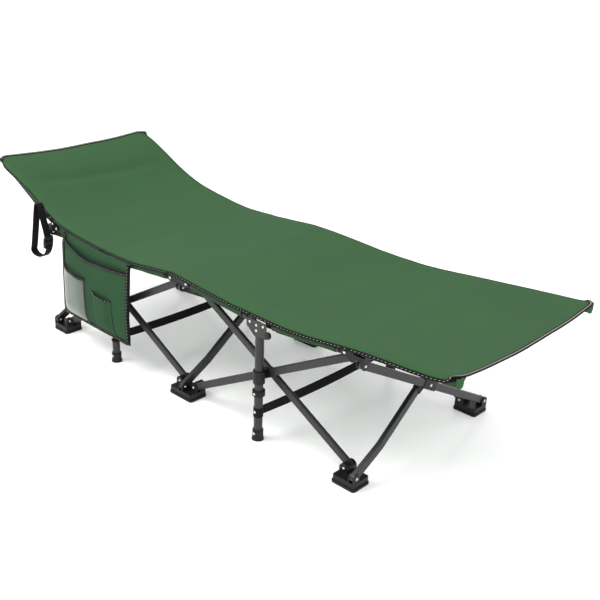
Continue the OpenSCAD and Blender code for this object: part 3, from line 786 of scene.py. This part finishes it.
# Sleeves on the outer side bars where they pass the legs, and clamps on the crossed bars.
BAR_ANGLE = math.atan2(TOP_Z - FOOT_Z, BAR_REACH_X)
CUFF = (0.058, 0.0154, 0.0272)
CUFF_Y = 0.277
CLAMP = (0.0166, 0.068, 0.029)
BENT_ASIDE = 0.019  # how far the bent bar's middle lies beside the straight one
CLAMP_OUT = 0.0085
CLAMP_FAR = 0.0278
for m in MODULES:
    for side in SIDES:
        turn = Matrix.Rotation(-BAR_ANGLE, 4, "Y")
        cuff = block("bar_cuff_%s_%s" % (m, side), CUFF, M_NYLON, 0.0028, turn,
                     on(side, WAY[m] * LEG_X, CUFF_Y, CROSSING_Z))
        dressed(cuff, "side_bar_%s_%s_outer" % (m, side))
for st in STATIONS:
    x = WAY[st] * CROSS_X
    inward = -1 if st != "head" else 1
    for rank, tilt, dx in (("straight", 1, 0.0), ("bent", -1, inward * BENT_ASIDE)):
        turn = Matrix.Rotation(-tilt * BAR_ANGLE, 4, "X")
        clamp = block("crossing_clamp_%s_%s" % (st, rank), CLAMP, M_NYLON, 0.0035, turn,
                      (x + dx, MID, CROSSING_Z))
        dressed(clamp, "cross_bar_%s_%s" % (st, rank))
    rivets("crossing_rivet_%s" % st, "cross_bar_%s_straight" % st,
           [((x - inward * CLAMP_OUT, MID, CROSSING_Z), (-inward, 0, 0)),
            ((x + inward * CLAMP_FAR, MID, CROSSING_Z), (inward, 0, 0))], 1.1)

# ---------------------------------------------------------------- webbing between the legs

STRAP_Z = 0.089
STRAP_W = 0.028
STRAP_SAG = 0.007
STRAP_BOW = 0.004
STRAP_LEAN = math.radians(-14)
LOOP_R = 0.0142  # the loops round the legs
for m in MODULES:
    x = WAY[m] * LEG_X
    path, across = [], []
    for y in np.linspace(-LEG_Y + 0.0125, LEG_Y - 0.0125, 60):
        q = (y + LEG_Y) / (2 * LEG_Y)
        slack = 4 * q * (1 - q)
        lean = STRAP_LEAN * math.sin(math.pi * q) ** 1.5
        path.append((x + STRAP_BOW * slack, MID + y, STRAP_Z - STRAP_SAG * slack))
        across.append((math.sin(lean), 0.0, math.cos(lean)))
    band = sheet_piece("leg_webbing_" + m, band_grid(path, across, STRAP_W), M_WEBBING, 0.0016)
    dressed(band, "leg_%s_near" % m)
    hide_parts("leg_strap_" + m)
    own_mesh(band)
    for side in SIDES:
        s = WAY[side]
        leg = "leg_%s_%s" % (m, side)
        path = [(x + LOOP_R * math.cos(a), MID + s * LEG_Y + LOOP_R * math.sin(a), STRAP_Z)
                for a in np.linspace(0, 2 * math.pi, 41)]
        p = band_grid(path, [(0, 0, 1)] * len(path), STRAP_W + 0.001)
        n = grid_normals(p)
        n = n if n[0, 0, 0] >= 0 else -n
        loop = sheet_piece("leg_webbing_loop_%s_%s" % (m, side), p, M_WEBBING, 0.0014, normals=n)
        dressed(loop, leg)
        rivets("webbing_rivet_%s_%s" % (m, side), leg,
               [(on(side, x, LEG_Y + LOOP_R, STRAP_Z + 0.002), (0, s, 0))], 0.9)

# ---------------------------------------------------------------- organizer

BAG_BACK = 0.3268  # how far out from the bed's middle line it hangs


# The organizer's outline: x of its sides at a height, and z of its bottom and top at an x.
def bag_left(z):
    return float(np.interp(z, (0.098, 0.130, 0.394), (-0.576, -0.584, -0.563)))


def bag_right(z):
    return float(np.interp(z, (0.098, 0.191, 0.297, 0.392), (-0.224, -0.227, -0.217, -0.206)))


def bag_bottom(x):
    return float(np.interp(x, (-0.585, -0.215), (0.107, 0.100)))


def bag_top(x):
    return float(hem(x, "near")) + 0.0015


def bag_y(x, z):
    """How far out the organizer's back hangs, rippled, and tucked in at its top to meet the hem."""
    tuck = np.clip((z - 0.355) / 0.035, 0, 1)
    ripple = 0.0016 * noise.noise(Vector((x * 16, z * 7, 1.3))) * (1 - tuck)
    return BAG_BACK + ripple - 0.0062 * tuck * tuck * (3 - 2 * tuck)


def bag_sheet(name, left, right, low, high, out, rows, cols):
    """A hanging panel: left and right give x at a height, low and high give z at an x."""
    p = np.zeros((rows, cols, 3))
    for i, u in enumerate(np.linspace(0, 1, rows)):
        for j, v in enumerate(np.linspace(0, 1, cols)):
            z = 0.1 + 0.28 * v
            # The four edges lean, so x and z are found in turns from a first guess.
            for _ in range(4):
                x = left(z) + (right(z) - left(z)) * u
                z = low(x) + (high(x) - low(x)) * v
            p[i, j] = (x, MID - out(x, z, u, v), z)
    n = grid_normals(p)
    n = n if n[:, :, 1].mean() < 0 else -n
    return sheet_piece(name, p, M_BAG, normals=n), p, n


SEWN = 0.009  # width of the flat border under a pocket's tape


def swell(u, v, wide, tall):
    """How far a pocket stands off, from 0 under the tape at its sides and bottom to 1."""
    a = min(1.0, max(0.0, (min(u, 1 - u) * wide - SEWN) / (0.25 * wide)))
    b = min(1.0, max(0.0, (v * tall - SEWN) / 0.045))
    return a * (2 - a) * b * (2 - b)


def bag_front(x, z, u, v):
    """The book pocket's front: sewn down at its sides and bottom, and standing off the back above."""
    belly = 0.72 + 0.28 * math.sin(math.pi * min(1, v * 1.1))
    return bag_y(x, z) + 0.0040 + 0.0125 * swell(u, v, 0.36, 0.24) * belly


def book_top(x):
    return float(np.interp(x, (-0.575, -0.545, -0.445, -0.41, -0.21), (0.379, 0.372, 0.3425, 0.340, 0.349)))


def shares(x, z, left, right_, high):
    """Where a point lies between a panel's sides, and between its bottom and its top, from 0 to 1."""
    u = np.clip((x - left) / (right_ - left), 0, 1)
    v = np.clip((z - bag_bottom(x)) / (high - bag_bottom(x)), 0, 1)
    return float(u), float(v)


def on_front(x, z):
    """How far out the book pocket's front is at x, z."""
    return bag_front(x, z, *shares(x, z, bag_left(z), bag_right(z), book_top(x)))


back_obj, back_p, _ = bag_sheet("organizer_back", bag_left, bag_right, bag_bottom, bag_top,
                                lambda x, z, u, v: bag_y(x, z), 42, 34)
front_obj, front_p, front_n = bag_sheet("organizer_book_pocket", bag_left, bag_right, bag_bottom, book_top,
                                        bag_front, 46, 34)
small_obj, small_p, small_n = bag_sheet(
    "organizer_small_pocket", lambda z: -0.398, lambda z: -0.293 - 0.05 * max(0, z - 0.15),
    lambda x: bag_bottom(x) + 0.006, lambda x: float(np.interp(x, (-0.398, -0.295), (0.241, 0.236))),
    lambda x, z, u, v: on_front(x, z) + 0.0016 + 0.0090 * swell(u, v, 0.10, 0.13) * (0.8 + 0.35 * v), 18, 20)

# The net: its right edge, a cell's size, and the place that its cells are counted from.
NET_RIGHT = -0.433
CELL_W = 0.0086
CELL_H = 0.0098
NET_CORNER = (-0.590, 0.100)


def net_top(x):
    return float(np.interp(x, (-0.585, NET_RIGHT), (0.292, 0.272)))


def net_out(x, z, u, v):
    return on_front(x, z) + 0.0018 + 0.0095 * swell(u, v, 0.15, 0.18)


def net_at(x, z):
    """The net's point in front of x, z."""
    return (x, MID - net_out(x, z, *shares(x, z, bag_left(z), NET_RIGHT, net_top(x))), z)


def net_piece():
    """Knitted diamond net: each cell's threads are solid."""
    index, verts, faces = {}, [], []

    def place(i, j):
        return NET_CORNER[0] + i * CELL_W / 2, NET_CORNER[1] + j * CELL_H / 2

    def corner(i, j):
        if (i, j) not in index:
            index[i, j] = len(verts)
            verts.append(net_at(*place(i, j)))
        return index[i, j]

    for j in range(1, 42):
        for i in range(1, 40):
            if (i + j) % 2:
                continue
            x, z = place(i, j)
            inside = bag_left(z) + 0.001 < x < NET_RIGHT - 0.001
            if inside and bag_bottom(x) + 0.003 < z < net_top(x) - 0.003:
                faces.append([corner(i - 1, j), corner(i, j - 1), corner(i + 1, j), corner(i, j + 1)])
    obj = piece("organizer_net_pocket", verts, faces, M_NET, smooth=False)
    wire = obj.modifiers.new("threads", "WIREFRAME")
    wire.thickness = 0.0012
    wire.use_even_offset = False
    wire.use_boundary = True
    bpy.context.view_layer.update()
    done = bpy.data.meshes.new_from_object(obj.evaluated_get(bpy.context.evaluated_depsgraph_get()))
    obj.modifiers.clear()
    obj.data = done
    return obj


net = dressed(net_piece())

# The tape round the organizer's sides and bottom, with rounded lower corners.
outline = [(bag_left(z), z) for z in np.linspace(0.392, 0.125, 30)]
outline += [(-0.584 + 0.014 * (1 - math.cos(a)), 0.122 - 0.014 * math.sin(a))
            for a in np.linspace(0.1, 1.5, 7)]
outline += [(x, bag_bottom(x)) for x in np.linspace(-0.562, -0.240, 36)]
outline += [(-0.2265 - 0.012 * (1 - math.sin(a)), 0.1125 - 0.012 * math.cos(a))
            for a in np.linspace(0.1, 1.5, 6)]
outline += [(bag_right(z), z) for z in np.linspace(0.120, 0.378, 30)]
line = np.array([(x, MID - bag_y(x, z) - 0.0056, z) for x, z in outline])
step = np.gradient(line, axis=0)
inward = np.stack([-step[:, 2], 0 * step[:, 0], step[:, 0]], axis=1)
inward /= np.linalg.norm(inward, axis=1, keepdims=True)


def all_along(path, way):
    """The same direction for each point of a path."""
    return np.tile(np.array(way, float), (len(path), 1))


def top_edge(name, p, n, width):
    """The tape over a pocket's open top."""
    down = p[:, -2] - p[:, -1]
    down /= np.linalg.norm(down, axis=1, keepdims=True)
    return edge_tape(name, p[:, -1], down, n[:, -1], width, back=0.0012, thick=0.0006)


def net_edge(name, points, way, width):
    """The tape along an edge of the net; way points from the edge over the net."""
    edge = np.array([net_at(x, z) for x, z in points])
    return edge_tape(name, edge, all_along(edge, way), all_along(edge, (0, -1, 0)), width, back=0.0014)


rim_pieces = edge_tape("organizer_binding", line, inward, all_along(line, (0, -1, 0)), 0.0120, back=0.0068)
book_edge = top_edge("organizer_book_binding", front_p, front_n, 0.0110)
small_edge = top_edge("organizer_small_binding", small_p, small_n, 0.0050)
across = np.linspace(bag_left(0.29) + 0.002, NET_RIGHT, 24)
upwards = np.linspace(bag_bottom(NET_RIGHT) + 0.002, net_top(NET_RIGHT) + 0.001, 24)
net_edges = net_edge("organizer_net_top", [(x, net_top(x)) for x in across], (0, 0, -1), 0.0115)
net_edges += net_edge("organizer_net_side", [(NET_RIGHT, z) for z in upwards], (-1, 0, 0), 0.0110)

for obj, p, extra in ((back_obj, back_p, rim_pieces), (front_obj, front_p, book_edge + [net] + net_edges),
                      (small_obj, small_p, small_edge)):
    dressed(obj)
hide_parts("organizer")

# ---------------------------------------------------------------- storage strap


def rounded_loop(knots, count):
    """A closed smooth curve through its knots."""
    knots = [np.array(k, float) for k in knots]
    total = len(knots)
    out = []
    for i in range(total):
        a, b_, c, d = (knots[(i + k) % total] for k in (-1, 0, 1, 2))
        for t in np.linspace(0, 1, count, endpoint=False):
            out.append(0.5 * (2 * b_ + (c - a) * t + (2 * a - 5 * b_ + 4 * c - d) * t * t
                              + (3 * b_ - a - 3 * c + d) * t ** 3))
    out.append(out[0])
    return np.array(out)


# The strap's loop seen from the side: x and z.
LOOP = ((-0.698, 0.4625), (-0.7095, 0.449), (-0.730, 0.375), (-0.750, 0.306), (-0.757, 0.284),
        (-0.744, 0.2715), (-0.716, 0.2695), (-0.690, 0.277), (-0.664, 0.300), (-0.6555, 0.325),
        (-0.662, 0.365), (-0.680, 0.425), (-0.687, 0.452))
strap_low, strap_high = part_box("storage_strap")
strap_y = (strap_low.y + strap_high.y) / 2
curve = rounded_loop(LOOP, 7)
path = np.array([(x, strap_y + 0.0015 * math.sin(9 * z), z) for x, z in curve])
p = band_grid(path, [(0, 1, 0)] * len(path), 0.025)
n = grid_normals(p)
centre = path.mean(axis=0)
if ((path - centre)[:, None] * n).sum() < 0:
    n = -n
strap = dressed(sheet_piece("storage_webbing", p, M_WEBBING, 0.0018, normals=n), "storage_strap")
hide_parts("storage_strap")

BUCKLE_AT = Vector((-0.6595, strap_y, 0.334))
BUCKLE_TURN = Matrix.Rotation(math.radians(11), 4, "Y")


def buckle_part(name, low, high, soft):
    """A rounded block given by its corners in the buckle's own axes."""
    low, high = Vector(low), Vector(high)
    at = BUCKLE_AT + BUCKLE_TURN.to_3x3() @ ((low + high) / 2)
    obj = block(name, high - low, M_BUCKLE, soft, BUCKLE_TURN, at)
    return dressed(obj, "storage_strap")


body = buckle_part("buckle_body", (-0.0052, -0.0165, -0.020), (0.0052, 0.0165, 0.006), 0.0022)
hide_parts("storage_buckle")
buckle_part("buckle_base", (-0.0046, -0.0155, 0.013), (0.0046, 0.0155, 0.024), 0.0020)
buckle_part("buckle_arm_near", (-0.0036, -0.0182, -0.008), (0.0036, -0.0142, 0.016), 0.0014)
buckle_part("buckle_arm_far", (-0.0036, 0.0142, -0.008), (0.0036, 0.0182, 0.016), 0.0014)
buckle_part("buckle_tongue", (-0.0022, -0.0045, 0.004), (0.0022, 0.0045, 0.016), 0.0010)

# ---------------------------------------------------------------- stage

FLOOR_HALF = 14
# The floor glows a little: painted light that lifts the shadow under the bed and lights the bed from below.
M_GLOWING_FLOOR = Build("studio_white").set(
    Base_Color=(0.90, 0.90, 0.90, 1), Roughness=0.24, Specular_IOR_Level=0.40,
    Emission_Color=(1, 1, 1, 1), Emission_Strength=0.21)
corners = [(x * FLOOR_HALF, y * FLOOR_HALF, 0) for x, y in ((-1, -1), (1, -1), (1, 1), (-1, 1))]
piece("studio_floor", corners, [(0, 1, 2, 3)], M_GLOWING_FLOOR, smooth=False)


def soft_light(name, at, to, size, power):
    lamp = bpy.data.lights.new(name, "AREA")
    lamp.shape = "DISK"
    lamp.size = size
    lamp.energy = power
    obj = bpy.data.objects.new(name, lamp)
    scene.collection.objects.link(obj)
    obj.location = at
    obj.rotation_euler = (Vector(to) - Vector(at)).to_track_quat("-Z", "Y").to_euler()


soft_light("key", (-1.6, -2.2, 3.6), (0, 0, 0.2), 2.6, 120)
soft_light("fill", (3.2, -1.4, 2.4), (0.2, 0, 0.2), 2.2, 45)
world = bpy.data.worlds.new("studio")
world.use_nodes = True
world.node_tree.nodes["Background"].inputs["Color"].default_value = (1, 1, 1, 1)
world.node_tree.nodes["Background"].inputs["Strength"].default_value = 1.05
scene.world = world
scene.view_settings.view_transform = "Standard"
